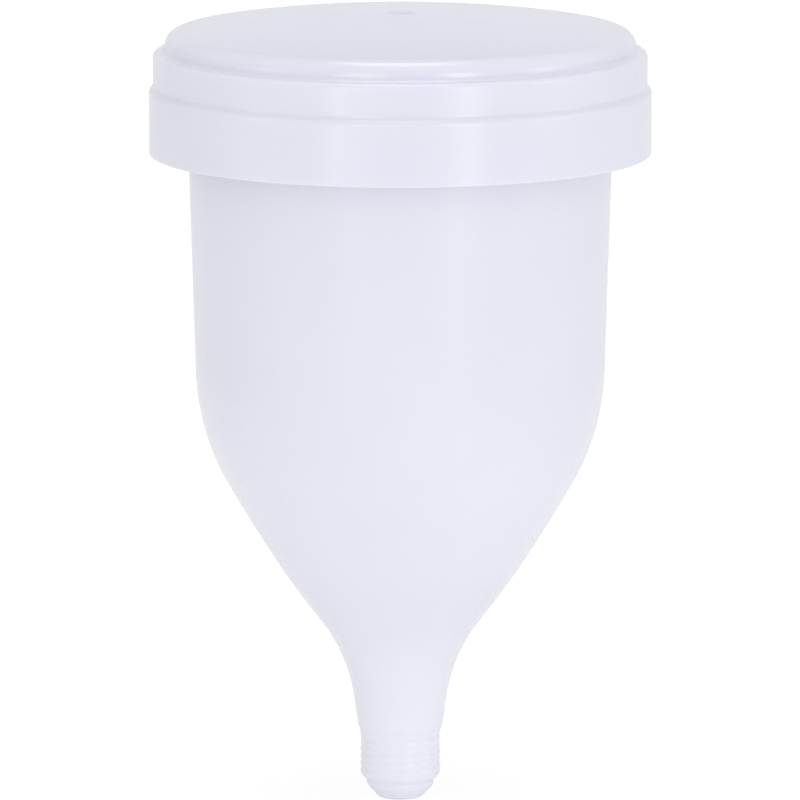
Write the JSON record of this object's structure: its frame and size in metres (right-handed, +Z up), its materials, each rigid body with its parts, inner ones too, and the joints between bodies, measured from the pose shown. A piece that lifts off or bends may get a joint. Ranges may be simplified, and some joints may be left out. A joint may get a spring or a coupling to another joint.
{
  "type": "paint cup with lid",
  "caption": "Funnel-shaped gravity-feed paint cup in milky plastic, with a threaded spigot at its foot and a stepped snap-fit lid.",
  "frame": {"origin": "on the cup's axis, at the stop where the thread of the spigot ends", "axes": "+Z up along the cup's axis, from the spigot towards the lid; X and Y across it, with no preferred turn because the part is round"},
  "size_m": [0.05, 0.05, 0.0794],
  "materials": {
    "cup_plastic": "milky translucent polyethylene, satin as moulded",
    "lid_plastic": "milky translucent polyethylene, satin with a slight gloss on its edges"
  },
  "bodies": {
    "cup": {"cup_body": "cup_plastic"},
    "lid": {"lid": "lid_plastic"}
  },
  "joints": [
    {"name": "lid_lift", "type": "slide", "parent": "cup", "child": "lid", "axis": [0, 0, 1], "range_m": [0, 0.04]}
  ]
}
